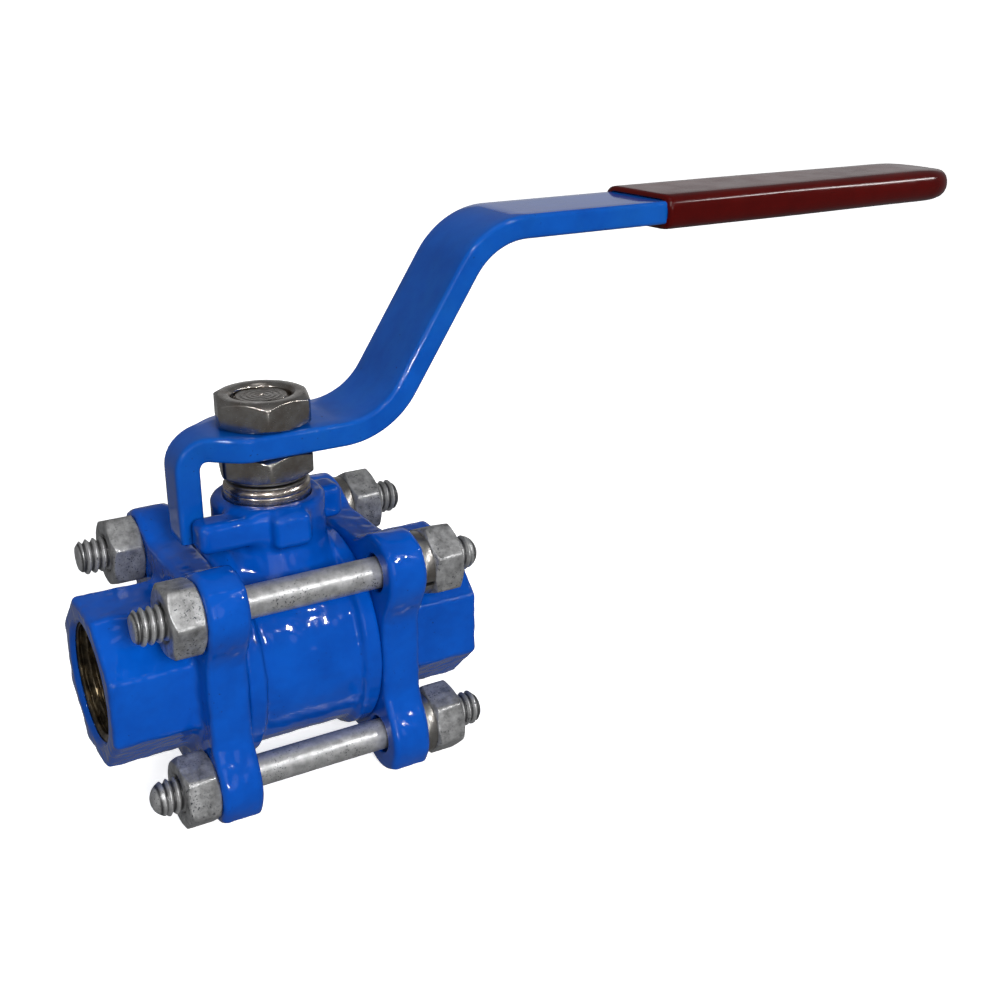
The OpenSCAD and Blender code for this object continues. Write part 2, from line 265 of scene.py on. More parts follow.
def surface_net(field, low, high, cell):
    """Closed quad mesh of a field's zero surface, its points drawn onto that surface."""
    axes = [np.arange(a - 1.7 * cell, b + 2.7 * cell, cell) for a, b in zip(low, high)]
    value = field(*np.meshgrid(*axes, indexing="ij"))
    inside = value < 0
    cells = tuple(n - 1 for n in value.shape)
    total = np.zeros(cells + (3,))
    count = np.zeros(cells)
    for axis in range(3):
        others = [a for a in range(3) if a != axis]
        first = np.take(value, range(value.shape[axis] - 1), axis)
        second = np.take(value, range(1, value.shape[axis]), axis)
        crossing = (first < 0) != (second < 0)
        share = np.where(crossing, first / np.where(crossing, first - second, 1), 0)
        for i in (0, 1):
            for j in (0, 1):
                cut = [slice(None)] * 3
                cut[others[0]] = slice(i, i + cells[others[0]])
                cut[others[1]] = slice(j, j + cells[others[1]])
                hit = crossing[tuple(cut)]
                total[..., axis] += np.where(hit, share[tuple(cut)], 0)
                total[..., others[0]] += i * hit
                total[..., others[1]] += j * hit
                count += hit
    active = count > 0
    index = np.full(cells, -1)
    index[active] = np.arange(active.sum())
    corner = np.stack([axes[a][np.nonzero(active)[a]] for a in range(3)], -1)
    points = corner + total[active] / count[active][:, None] * cell
    faces = []
    for axis in range(3):
        b, c = (axis + 1) % 3, (axis + 2) % 3
        first = np.take(inside, range(inside.shape[axis] - 1), axis)
        second = np.take(inside, range(1, inside.shape[axis]), axis)
        spot = np.stack(np.nonzero(first != second), -1)
        spot = spot[(spot[:, b] > 0) & (spot[:, c] > 0)]
        spot = spot[(spot[:, b] < cells[b]) & (spot[:, c] < cells[c])]
        quad = []
        for db, dc in ((-1, -1), (0, -1), (0, 0), (-1, 0)):
            at = spot.copy()
            at[:, b] += db
            at[:, c] += dc
            quad.append(index[at[:, 0], at[:, 1], at[:, 2]])
        quad = np.stack(quad, -1)
        outward = first[tuple(spot.T)]
        faces.append(np.where(outward[:, None], quad, quad[:, ::-1]))
    return settle(points, field), np.concatenate(faces).tolist()


def slope(points, field):
    """The field's rate of change at each point."""
    h = 0.02
    rate = []
    for axis in range(3):
        step = np.zeros(3)
        step[axis] = h
        rate.append((field(*(points + step).T) - field(*(points - step).T)) / (2 * h))
    return np.stack(rate, -1)


def settle(points, field, rounds=3):
    """Moves points onto the field's zero surface."""
    for _ in range(rounds):
        rate = slope(points, field)
        size = np.maximum((rate**2).sum(1), 0.3)
        move = (field(*points.T) / size)[:, None] * rate
        reach = np.linalg.norm(move, axis=1, keepdims=True)
        points = points - move * np.minimum(1, 0.15 / np.maximum(reach, 1e-9))
    return points


def skin(rings, loop=False):
    """Quads between rings of points; the end rings are closed, or joined to each other."""
    rings = np.asarray(rings, float)
    count, size = rings.shape[:2]
    ring = np.arange(size)
    faces = []
    for i in range(count if loop else count - 1):
        a, b = i * size, (i + 1) % count * size
        nxt = (ring + 1) % size
        faces += np.stack([a + ring, a + nxt, b + nxt, b + ring], -1).tolist()
    if not loop:
        faces.append(ring[::-1].tolist())
        faces.append((ring + (count - 1) * size).tolist())
    return rings.reshape(-1, 3), faces


def join(*shapes):
    """One shape made of several."""
    points, faces, start = [], [], 0
    for more, polygons in shapes:
        points.append(more)
        faces += [[start + i for i in face] for face in polygons]
        start += len(more)
    return np.concatenate(points), faces


def moved(shape, offset):
    """The shape shifted by offset."""
    return shape[0] + np.array(offset, float), shape[1]


def mirrored(shape):
    """The shape reflected in the YZ plane, with its faces kept the right way out."""
    return shape[0] * (-1, 1, 1), [face[::-1] for face in shape[1]]


def about_x(shape):
    """Turns a shape made about Z so that it stands about X."""
    points = shape[0]
    return np.stack([points[:, 2], points[:, 1], -points[:, 0]], -1), shape[1]


def lathe(profile, steps=128):
    """Closed outline of (radius, height) points, turned about Z; counter-clockwise."""
    profile = np.array(profile, float)
    angle = np.arange(steps) * TURN / steps
    rings = [
        np.stack([profile[:, 0] * math.cos(a), profile[:, 0] * math.sin(a), profile[:, 1]], -1)
        for a in angle
    ]
    return skin(rings, loop=True)


def eased(outline, bevel):
    """Outline with each corner cut back twice, so that its edges catch the light."""
    outline = np.array(outline, float)
    result = []
    for i, corner in enumerate(outline):
        before, after = outline[i - 1] - corner, outline[(i + 1) % len(outline)] - corner
        a = before / np.linalg.norm(before) * min(bevel, np.linalg.norm(before) * 0.45)
        b = after / np.linalg.norm(after) * min(bevel, np.linalg.norm(after) * 0.45)
        result += [corner + a, corner + (a + b) * 0.3, corner + b]
    return np.array(result)


def ring(r_in, r_out, z0, z1, bevel=0.15):
    """Ring of rectangular section about Z, with eased edges."""
    return lathe(eased([(r_in, z0), (r_out, z0), (r_out, z1), (r_in, z1)], bevel))


def thread_form(turns):
    """Rolled thread profile, from 0 at the root to 1 at the crest."""
    saw = 1 - 4 * np.abs((turns % 1.0) - 0.5)
    return 0.5 + 0.5 * np.clip(saw * 1.3, -1, 1)


def hexagon_radius(angle, across):
    """Distance from the middle to a hexagon's side, with slightly rounded corners."""
    fold = angle % (TURN / 6) - TURN / 12
    near = np.cos(fold)
    far = np.cos(TURN / 6 - np.abs(fold))
    soft = 0.06
    blend = np.maximum(soft - np.abs(near - far), 0) / soft
    return across / 2 / (np.maximum(near, far) + blend * blend * soft / 4)


def nut(across, height, hole_r, angle, face_share=0.955):
    """Hexagon nut about Z with coned corners, eased edges and a countersunk hole."""
    face_r = across / 2 * face_share
    sink = 0.55
    rings = []
    for a in np.linspace(0, TURN, 144, endpoint=False):
        r = float(hexagon_radius(a, across))
        drop = (r - face_r) * math.tan(math.radians(30))
        outline = eased(
            [
                (hole_r + sink, 0),
                (face_r, 0),
                (r, drop),
                (r, height - drop),
                (face_r, height),
                (hole_r + sink, height),
                (hole_r, height - sink),
                (hole_r, sink),
            ],
            0.14,
        )
        turn = a + math.radians(angle)
        rings.append(
            np.stack(
                [outline[:, 0] * math.cos(turn), outline[:, 0] * math.sin(turn), outline[:, 1]], -1
            )
        )
    return skin(rings, loop=True)


def stud(tip_left, tip_right):
    """Stud along X with rolled threads outside the caps. A tip is "flat" or "dome"."""
    fine = np.arange(0, STUD_RIGHT - BODY_HALF - 1.9, STUD_PITCH / 12)
    right = STUD_RIGHT - fine
    left = STUD_LEFT + fine[fine < -STUD_LEFT - BODY_HALF - 1.9]
    x = np.concatenate([left, np.linspace(-BODY_HALF - 1.5, BODY_HALF + 1.5, 12), right[::-1]])
    angle = np.arange(64) * TURN / 64
    rings = []
    for at in x:
        begun = rise(abs(at), BODY_HALF + 1.6, BODY_HALF + 2.8)
        deep = THREAD_DEPTH * begun
        form = thread_form(at / STUD_PITCH + angle / TURN)
        crest = SHANK_R + begun * (STUD_R - 0.03 - SHANK_R)
        limit = crest
        for end, kind in ((at - STUD_LEFT, tip_left), (STUD_RIGHT - at, tip_right)):
            if kind == "dome":
                deep *= rise(end, DOME * 0.4, DOME * 0.8)
                limit = min(limit, STUD_R * math.sqrt(1 - max(0, 0.995 - end / DOME) ** 2))
            else:
                limit = min(limit, STUD_R - 0.95 + end * 1.05)
        r = np.minimum(crest - deep * (1 - form), limit)
        rings.append(np.stack([np.full(64, at), r * np.cos(angle), r * np.sin(angle)], -1))
    # The place at the right is counted before the left end grows, so there the smaller rings
    # land just inside the last one, and that end's flat face is doubled.
    for share in (0.6, 0.1):
        for end, place in ((0, 0), (-1, len(rings))):
            rings.insert(place, closing(rings[end], share))
    return skin(rings)


def closing(points, share):
    """The ring shrunk to its middle, for the flat end of a solid."""
    middle = points.mean(0)
    return middle + (points - middle) * share


def at_studs(shapes):
    """Four shapes made about X, one moved to each stud."""
    return join(
        *(moved(s, (0, side[0] * STUD_AT, side[1] * STUD_AT)) for s, side in zip(shapes, STUD_SIDES))
    )


def mouth_thread():
    """Machined bore of the right cap: internal pipe thread, step and outlet."""
    inner = CAP_OUT - THREAD_DEEP - (MOUTH_R - THREAD_MINOR_R)
    depth = 1.16
    outer_r = MOUTH_R + 0.2
    back = CAP_OUT - THREAD_DEEP - 3.0
    front = CAP_OUT - MOUTH_LIP
    x = np.arange(inner, front, PORT_PITCH / 14)
    rings = []
    for a in np.arange(120) * TURN / 120:
        form = thread_form(x / PORT_PITCH - a / TURN)
        r = THREAD_MINOR_R + depth * form * rise(x, inner, inner + 1.0)
        r = np.maximum(r, MOUTH_R + 0.1 - (CAP_OUT - x))
        outline = np.concatenate(
            [
                [(outer_r, front), (outer_r, back), (PORT_BORE_R, back)],
                [(PORT_BORE_R, inner - 1.4)],
                np.stack([r, x], -1),
            ]
        )
        rings.append(
            np.stack([outline[:, 1], outline[:, 0] * math.cos(a), outline[:, 0] * math.sin(a)], -1)
        )
    return skin(rings, loop=True)


# ---------------------------------------------------------------- the lever's path

LEVER_W = box_mm("lever")[1][1] * 2
LEVER_TOP = box_mm("lever")[1][2]
LEVER_T = 4.2
LEVER_Z = box_mm("gland_nut")[1][2]
PLATE_TOP = LEVER_Z + LEVER_T
LEG_OUT = -box_mm("lever")[0][0]
LEG_LOW = box_mm("lever")[0][2]
LEVER_END = box_mm("lever")[1][0]
FOOT_X = 18.0
SLOPE = math.radians(57)
BEND_R = 12.0
LEG_BEND_R = 1.6
TAPER = (-13.6, -4.8)
BAR_EDGE = 0.75


def arc(middle, r, start, end, steps):
    """Points on an arc in the XZ plane, from angle start to end."""
    a = np.radians(np.linspace(start, end, steps))
    return np.stack([middle[0] + r * np.cos(a), middle[1] + r * np.sin(a)], -1)


def lever_path():
    """Middle line of the bar in the XZ plane, from the leg's lower end to the outer end."""
    half = LEVER_T / 2
    slope_deg = math.degrees(SLOPE)
    head_x = FOOT_X + (LEVER_TOP - PLATE_TOP) / math.tan(SLOPE)
    middle_r = BEND_R + half
    outer_r = BEND_R + LEVER_T
    knee = (-LEG_OUT + LEVER_T + LEG_BEND_R, LEVER_Z - LEG_BEND_R)
    foot = (FOOT_X - BEND_R * math.tan(SLOPE / 2), PLATE_TOP + BEND_R)
    head = (head_x + outer_r * math.tan(SLOPE / 2), LEVER_TOP - outer_r)
    leg = np.stack([np.full(14, -LEG_OUT + half), np.linspace(LEG_LOW, knee[1], 14)], -1)
    plate = np.stack([np.linspace(knee[0], foot[0], 30), np.full(30, LEVER_Z + half)], -1)
    arm = np.stack([np.linspace(head[0], LEVER_END, 90), np.full(90, LEVER_TOP - half)], -1)
    parts = [
        leg[:-1],
        arc(knee, LEG_BEND_R + half, 180, 90, 14)[:-1],
        plate[:-1],
        arc(foot, middle_r, -90, -90 + slope_deg, 22),
        arc(head, middle_r, 90 + slope_deg, 90, 22)[:-1],
        arm,
    ]
    return np.concatenate(parts)


def resampled(path, step):
    """The path with points step apart."""
    reach = np.concatenate([[0], np.cumsum(np.linalg.norm(np.diff(path, axis=0), axis=1))])
    at = np.linspace(0, reach[-1], int(reach[-1] / step) + 1)
    return np.stack([np.interp(at, reach, path[:, i]) for i in range(2)], -1)


def section(half_w, half_t, r, corner_steps=6, flat_steps=6):
    """Rounded rectangle, as (across, up) points."""
    r = min(r, half_w * 0.98, half_t * 0.98)
    points = []
    for k, (sx, sy) in enumerate(((1, 1), (-1, 1), (-1, -1), (1, -1))):
        middle = np.array([sx * (half_w - r), sy * (half_t - r)])
        a = np.radians(np.linspace(0, 90, corner_steps) + 90 * k)
        points.append(middle + r * np.stack([np.cos(a), np.sin(a)], -1))
    points = np.concatenate(points)
    ends = points[corner_steps - 1 :: corner_steps]
    starts = np.roll(points[::corner_steps], -1, axis=0)
    result = []
    for k in range(4):
        result.append(points[k * corner_steps : (k + 1) * corner_steps])
        share = np.linspace(0, 1, flat_steps + 2)[1:-1, None]
        result.append(ends[k] + (starts[k] - ends[k]) * share)
    return np.concatenate(result)


def bar_half_width(x):
    """Half width of the lever in plan: narrow leg, taper, full width, round outer end."""
    half = LEG_W / 2 + (LEVER_W - LEG_W) / 2 * rise(x, *TAPER)
    end = LEVER_END - LEVER_W / 2
    beyond = np.clip((x - end) / (LEVER_W / 2), 0, 0.999)
    return half * np.sqrt(1 - beyond * beyond)


def lever_shape():
    """The bent bar, as sections along the lever's path."""
    path = resampled(lever_path(), 0.7)
    ahead = np.gradient(path, axis=0)
    ahead /= np.linalg.norm(ahead, axis=1, keepdims=True)
    up = np.stack([-ahead[:, 1], ahead[:, 0]], -1)
    rings = []
    for spot, normal in zip(path, up):
        outline = section(float(bar_half_width(spot[0])), LEVER_T / 2, BAR_EDGE)
        at = spot + outline[:, 1:] * normal
        rings.append(np.stack([at[:, 0], -outline[:, 0], at[:, 1]], -1))
    foot = [closing(rings[0], 0.5), closing(rings[0], 0.86) + (0, 0, 0.1)]
    return skin(foot + [closing(rings[0], 0.97) + (0, 0, 0.4)] + rings[2:])


GRIP_LOW, GRIP_HIGH = box_mm("lever_grip")
GRIP_WALL = GRIP_HIGH[0] - LEVER_END
GRIP_SLANT = 1.0
GRIP_GAP = 0.02
GRIP_EDGE, NOSE_EDGE_GAIN = 2.4, 0.8
ROUND_END = 14
# The outer surface thins over the nose and rounds off past the bar, and stays clear of the bar.
NOSE, NOSE_THINNED, TIP_THINNED = 12.0, 0.28, 0.85


def grip_rings(grow, places):
    """Sections of the sleeve at places along X, grown by grow; the open end is slanted."""
    half_t = LEVER_T / 2 + grow
    half_w = LEVER_W / 2 + grow
    end = LEVER_END + grow
    rings = []
    for at in places:
        plan = np.clip((at - (end - half_w)) / half_w, 0, 1)
        nose = np.clip((at - (end - NOSE)) / NOSE, 0, 1)
        width = half_w * math.sqrt(max(1 - plan * plan, 0.0004))
        tip = np.clip((at - LEVER_END) / GRIP_WALL, 0, 1)
        thick = half_t * math.sqrt(1 - tip * tip * TIP_THINNED)
        edge = BAR_EDGE
        if grow > GRIP_GAP:
            thick *= 1 - NOSE_THINNED * nose * nose
            edge = GRIP_EDGE + NOSE_EDGE_GAIN * rise(at, end - 55, end - 12)
        outline = section(width, thick, edge)
        slant = GRIP_SLANT * rise(GRIP_LOW[0] + 8 - at, 0, 8)
        y = -outline[:, 0]
        spot = np.full(len(y), LEVER_TOP - LEVER_T / 2) + outline[:, 1]
        rings.append(np.stack([at - slant * (y / half_w), y, spot], -1))
    return rings


def grip_shape():
    """Hollow sleeve: inner surface, open lip, then the outer surface to the nose."""
    start, end = GRIP_LOW[0] + GRIP_SLANT, GRIP_HIGH[0]
    inner_end = LEVER_END - 0.05
    turn = np.linspace(0, TURN / 4, 26)
    back = (ROUND_END * (1 - np.sin(turn)))[1:]
    outer = np.concatenate([np.linspace(start + 1.0, end - ROUND_END, 80), end - back])
    inner = np.concatenate([np.linspace(start + 0.3, inner_end - ROUND_END, 60), inner_end - back])
    inside = grip_rings(GRIP_GAP, np.minimum(inner, inner_end - 0.05))[::-1]
    lip = []
    for grow, along in ((0.3, 0.02), (0.7, 0.15), (0.95, 0.45)):
        lip += grip_rings(grow * GRIP_WALL, [start + along])
    return skin(inside + lip + grip_rings(GRIP_WALL, np.minimum(outer, end - 0.002)))


# ---------------------------------------------------------------- materials

class Nodes:
    """A material's node tree and short ways to add to it."""

    def __init__(self, name):
        self.material = bpy.data.materials.new(name)
        self.material.use_nodes = True
        self.tree = self.material.node_tree
        self.shader = self.tree.nodes["Principled BSDF"]
        self.place = self.tree.nodes.new("ShaderNodeTexCoord").outputs["Object"]

    def add(self, kind, **inputs):
        """New shader node with its inputs fed."""
        node = self.tree.nodes.new("ShaderNode" + kind)
        for name, value in inputs.items():
            self.put(node, name, value)
        return node

    def feed(self, socket, value):
        """Gives a socket a value, or a link when the value is itself a socket."""
        if isinstance(value, bpy.types.NodeSocket):
            self.tree.links.new(value, socket)
        else:
            socket.default_value = value

    def put(self, node, name, value):
        """Feeds a node's input by name, with _ for a space."""
        self.feed(node.inputs[name.replace("_", " ")], value)

    def set(self, **inputs):
        """Feeds inputs of the material's own shader."""
        for name, value in inputs.items():
            self.put(self.shader, name, value)

    def stretched(self, scale):
        """The object's own coordinates, scaled along each axis."""
        return self.add("Mapping", Vector=self.place, Scale=scale).outputs["Vector"]

    def math(self, operation, first, second=0.0):
        """Math node on one or two values."""
        node = self.tree.nodes.new("ShaderNodeMath")
        node.operation = operation
        for socket, value in zip(node.inputs, (first, second)):
            self.feed(socket, value)
        return node.outputs[0]

    def noise(self, size_mm, detail=3.0, roughness=0.5, place=None):
        """Noise with blotches about size_mm across."""
        return self.add(
            "TexNoise",
            Vector=place or self.place,
            Scale=1 / (size_mm * MM),
            Detail=detail,
            Roughness=roughness,
        ).outputs["Fac"]

    def ramp(self, value, *stops):
        """Colour ramp; each stop is (position, grey or colour)."""
        node = self.add("ValToRGB", Fac=value)
        elements = node.color_ramp.elements
        while len(elements) < len(stops):
            elements.new(0.5)
        for element, (position, color) in zip(elements, stops):
            element.position = position
            if isinstance(color, (int, float)):
                color = (color, color, color)
            element.color = (*color, 1)
        return node.outputs["Color"]

    def mix(self, factor, a, b):
        """Mix of two colours."""
        node = self.add("MixRGB", Fac=factor)
        for socket, value in (("Color1", a), ("Color2", b)):
            if isinstance(value, tuple):
                value = (*value, 1)
            self.put(node, socket, value)
        return node.outputs["Color"]

    def bump(self, height, depth_mm, strength, normal=None):
        """Normal bumped by a height of up to depth_mm."""
        node = self.add("Bump", Height=height, Distance=depth_mm * MM, Strength=strength)
        if normal:
            self.put(node, "Normal", normal)
        return node.outputs["Normal"]


def enamel(name, color, dark, dust=None):
    """Glossy sprayed enamel: orange peel, pooled colour and a few specks of dirt."""
    n = Nodes(name)
    pooled = n.ramp(n.noise(9, 4, 0.6), (0.35, 0.0), (0.7, 1.0))
    paint = n.mix(pooled, color, dark)
    specks = n.ramp(n.noise(0.55, 2, 0.4), (0.70, 0.0), (0.76, 0.75))
    rare = n.ramp(n.noise(7, 2, 0.5), (0.52, 0.0), (0.60, 1.0))
    dirt = n.mix(rare, (0.0, 0.0, 0.0), specks)
    paint = n.mix(dirt, paint, (0.004, 0.02, 0.07))
    if dust:
        paint = n.mix(n.ramp(n.noise(14, 5, 0.7), (0.45, 0.0), (0.75, 0.22)), paint, dust)
    peel = n.bump(n.noise(1.5, 3, 0.55), 0.035, 0.45)
    fine = n.bump(n.noise(0.45, 2, 0.5), 0.012, 0.5, peel)
    rough = n.ramp(n.noise(5, 4, 0.6), (0.3, 0.07), (0.75, 0.15))
    n.set(Base_Color=paint, Roughness=rough, Normal=fine, Specular_IOR_Level=0.12)
    n.set(Coat_Weight=0.4, Coat_Roughness=0.02)
    return n.material


def stud_share(n):
    """1 at a thread's crest, 0.5 at its root and less towards the nearest stud's axis."""
    split = n.add("SeparateXYZ", Vector=n.place)
    total = 0.0
    for axis in ("Y", "Z"):
        off = n.math("SUBTRACT", n.math("ABSOLUTE", split.outputs[axis]), STUD_AT * MM)
        total = n.math("ADD", n.math("MULTIPLY", off, off), total)
    deep = n.math("SUBTRACT", n.math("SQRT", total), (STUD_R - 2 * THREAD_DEPTH) * MM)
    return n.math("DIVIDE", deep, 2 * THREAD_DEPTH * MM)


def zinc(name, low, high, threaded=False):
    """Dull zinc plate: mottled grey with dark pits; painted shade in the roots of a thread."""
    n = Nodes(name)
    tone = n.ramp(n.noise(1.6, 5, 0.65), (0.3, low), (0.7, high))
    pits = n.ramp(n.noise(0.35, 2, 0.5), (0.60, 0.0), (0.66, 0.9))
    patch = n.ramp(n.noise(4.5, 3, 0.5), (0.42, 0.0), (0.62, 1.0))
    tone = n.mix(n.mix(patch, (0.0, 0.0, 0.0), pits), tone, (0.03, 0.035, 0.045))
    if threaded:
        # Painted shade: the thread roots are darkened where shade falls between the crests.
        root_shade = n.ramp(stud_share(n), (0.3, 0.0), (0.46, 0.85), (0.55, 0.85), (0.72, 0.0))
        tone = n.mix(root_shade, tone, (0.02, 0.02, 0.022))
    rough = n.ramp(n.noise(0.9, 4, 0.6), (0.3, 0.28), (0.7, 0.5))
    bumps = n.bump(n.noise(0.7, 4, 0.6), 0.05, 0.6)
    n.set(Base_Color=tone, Roughness=rough, Normal=bumps, Metallic=0.72)
    return n.material


def steel(name, light, brown, rough_low, rough_high, across=(1, 1, 18)):
    """Machined stainless steel with fine turning marks along one axis."""
    n = Nodes(name)
    marks = n.noise(1.1, 3, 0.6, n.stretched(across))
    tone = n.mix(n.ramp(n.noise(3.5, 4, 0.6), (0.35, 0.0), (0.7, 1.0)), light, brown)
    tone = n.mix(n.ramp(marks, (0.3, 0.0), (0.8, 0.35)), tone, (0.05, 0.045, 0.04))
    rough = n.ramp(marks, (0.2, rough_low), (0.8, rough_high))
    n.set(Base_Color=tone, Roughness=rough, Metallic=1.0)
    n.set(Normal=n.bump(marks, 0.02, 0.5))
    return n.material


def bare_thread(name):
    """Cut, oiled steel of the port threads: dark, with brassy patches that are partly the oil's tint and
    partly painted warm glints.
    """
    n = Nodes(name)
    # Painted reflection: the brassy stops stand partly for warm glints and partly for the oil's tint.
    tone = n.ramp(
        n.noise(2.4, 4, 0.65),
        (0.3, (0.03, 0.025, 0.02)),
        (0.52, (0.14, 0.11, 0.07)),
        (0.72, (0.42, 0.33, 0.2)),
    )
    n.set(Base_Color=tone, Metallic=0.9)
    n.set(Roughness=n.ramp(n.noise(0.8, 3, 0.6), (0.3, 0.22), (0.7, 0.5)))
    n.set(Normal=n.bump(n.noise(0.4, 3, 0.6), 0.03, 0.6))
    return n.material


def vinyl(name):
    """Dipped vinyl: glossy, a little lumpy, greyed by handling in patches."""
    n = Nodes(name)
    tone = n.mix(
        n.ramp(n.noise(11, 4, 0.6), (0.35, 0.0), (0.7, 1.0)),
        (0.062, 0.001, 0.0005),
        (0.045, 0.0006, 0.0003),
    )
    scuff = n.ramp(n.noise(2.2, 6, 0.7, n.stretched((0.35, 1, 1))), (0.6, 0.0), (0.75, 0.15))
    tone = n.mix(scuff, tone, (0.12, 0.02, 0.015))
    sway = n.bump(n.noise(16, 2, 0.4), 0.5, 0.35)
    fine = n.bump(n.noise(1.2, 3, 0.5), 0.02, 0.3, sway)
    rough = n.ramp(n.noise(6, 4, 0.6), (0.3, 0.14), (0.75, 0.26))
    n.set(Base_Color=tone, Roughness=rough, Normal=fine, Coat_Weight=0.2, Coat_Roughness=0.04)
    n.set(Specular_IOR_Level=0.12)
    return n.material


def ptfe(name):
    """White sealing plastic, waxy, with faint turning marks."""
    n = Nodes(name)
    marks = n.noise(0.8, 3, 0.6, n.stretched((6, 1, 1)))
    tone = n.ramp(n.noise(5, 3, 0.6), (0.3, (0.78, 0.77, 0.73)), (0.7, (0.9, 0.9, 0.88)))
    n.set(Base_Color=tone, Roughness=n.ramp(marks, (0.3, 0.42), (0.7, 0.6)))
    n.set(Normal=n.bump(marks, 0.02, 0.4), Subsurface_Weight=0.15, Subsurface_Scale=0.001)
    return n.material


CAST_BLUE = enamel("cast_blue_enamel", (0.001, 0.07, 0.4), (0.0005, 0.05, 0.31))
BAR_BLUE = enamel("bar_blue_enamel", (0.002, 0.074, 0.38), (0.001, 0.055, 0.3), (0.012, 0.11, 0.27))
ZINC = zinc("zinc_plate", 0.17, 0.5)
BRIGHT_ZINC = zinc("bright_zinc_plate", 0.3, 0.56, threaded=True)
DARK_STAINLESS = steel("dark_stainless", (0.52, 0.50, 0.47), (0.30, 0.25, 0.21), 0.14, 0.3)
BRIGHT_STAINLESS = steel("bright_stainless", (0.66, 0.61, 0.56), (0.42, 0.33, 0.28), 0.16, 0.32)
POLISHED = steel("polished_steel", (0.7, 0.7, 0.7), (0.55, 0.54, 0.52), 0.05, 0.12, (1, 1, 1))
SPRING = steel("spring_steel", (0.46, 0.45, 0.43), (0.28, 0.25, 0.22), 0.25, 0.42)
OILED_THREAD = bare_thread("oiled_thread")
VINYL = vinyl("dark_red_vinyl")
PTFE = ptfe("white_ptfe")


# ---------------------------------------------------------------- pieces

def smoothed(obj, sharp_deg):
    """Smooth shading, broken at edges sharper than sharp_deg."""
    mesh = obj.data
    mesh.polygons.foreach_set("use_smooth", [True] * len(mesh.polygons))
    mesh.set_sharp_from_angle(angle=math.radians(sharp_deg))
    mesh.update()


def inside_out(mesh):
    """True when the faces turn inward, told by the sign of the volume they enclose."""
    mesh.calc_loop_triangles()
    corners = np.empty(len(mesh.loop_triangles) * 3, np.int32)
    mesh.loop_triangles.foreach_get("vertices", corners)
    spots = np.empty(len(mesh.vertices) * 3, np.float32)
    mesh.vertices.foreach_get("co", spots)
    a, b, c = spots.reshape(-1, 3).astype(float)[corners.reshape(-1, 3)].transpose(1, 0, 2)
    return np.einsum("ij,ij->", a, np.cross(b, c)) < 0


def piece(name, shape, material, body, nodes, sharp_deg=32):
    """Adds a shape in millimetres as a piece that stands for CAD nodes and rides on a body."""
    points, faces = shape
    mesh = bpy.data.meshes.new(name)
    mesh.from_pydata((np.asarray(points) * MM).tolist(), [], faces)
    if inside_out(mesh):
        mesh.flip_normals()
    mesh.materials.append(material)
    obj = bpy.data.objects.new(name, mesh)
    bpy.context.scene.collection.objects.link(obj)
    smoothed(obj, sharp_deg)
    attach(obj, body)
    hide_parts(*nodes)
    return obj


def ripple(points, size_mm, seed):
    """Smooth random height at each point, about -1 to 1, with waves about size_mm long."""
    draw = np.random.default_rng(seed)
    wave = draw.normal(size=(24, 3))
    wave *= TURN / size_mm * draw.uniform(0.6, 1.5, (24, 1)) / np.linalg.norm(wave, axis=1, keepdims=True)
    return np.sin(points @ wave.T + draw.uniform(0, TURN, 24)).sum(1) / 5


def cast_skin(shape, field, depth, seed, machined):
    """Gives a cast surface its uneven skin, except where machined says so."""
    points, faces = shape
    rate = slope(points, field)
    rate /= np.maximum(np.linalg.norm(rate, axis=1, keepdims=True), 1e-6)
    height = 0.6 * ripple(points, 7, seed) + 0.4 * ripple(points, 2.4, seed + 1)
    keep = 1 - machined(points)
    return points + rate * (height * keep * depth)[:, None], faces


CELL = 0.38
CAST_RIPPLE = 0.09


def add_castings():
    """Center body and both end caps; the left cap mirrors the right."""
    low, high = box_mm("center_body")
    shape = surface_net(center_body_field, low, high, CELL)

    def machined_body(p):
        flow, stem = np.hypot(p[:, 1], p[:, 2]), np.hypot(p[:, 0], p[:, 1])
        bore = np.maximum(rise(BARREL_R - 2 - flow, -1, 0), rise(BOX_R + 0.6 - stem, -0.4, 0))
        return np.maximum(bore * (stem < 30), rise(np.abs(p[:, 0]), BODY_HALF - 0.5, BODY_HALF))

    shape = cast_skin(shape, center_body_field, CAST_RIPPLE, 3, machined_body)
    piece("cast_center_body", shape, CAST_BLUE, "housing", ["center_body"], 60)

    low, high = box_mm("end_cap_right")
    shape = surface_net(end_cap_field, low, high, CELL)

    def machined_cap(p):
        flow = np.hypot(p[:, 1], p[:, 2])
        inner = rise(BODY_HALF + 0.6 - p[:, 0], 0, 0.4)
        return np.maximum(np.maximum(inner, rise(MOUTH_R + 0.6 - flow, -0.4, 0)), p[:, 0] > CAP_OUT)

    shape = cast_skin(shape, end_cap_field, CAST_RIPPLE, 11, machined_cap)
    thread = mouth_thread()
    for side, cap, bore in (("right", shape, thread), ("left", mirrored(shape), mirrored(thread))):
        node = "end_cap_" + side
        piece("cast_" + node, cap, CAST_BLUE, "housing", [node], 60)
        piece("thread_of_" + node, bore, OILED_THREAD, "housing", [node], 50)


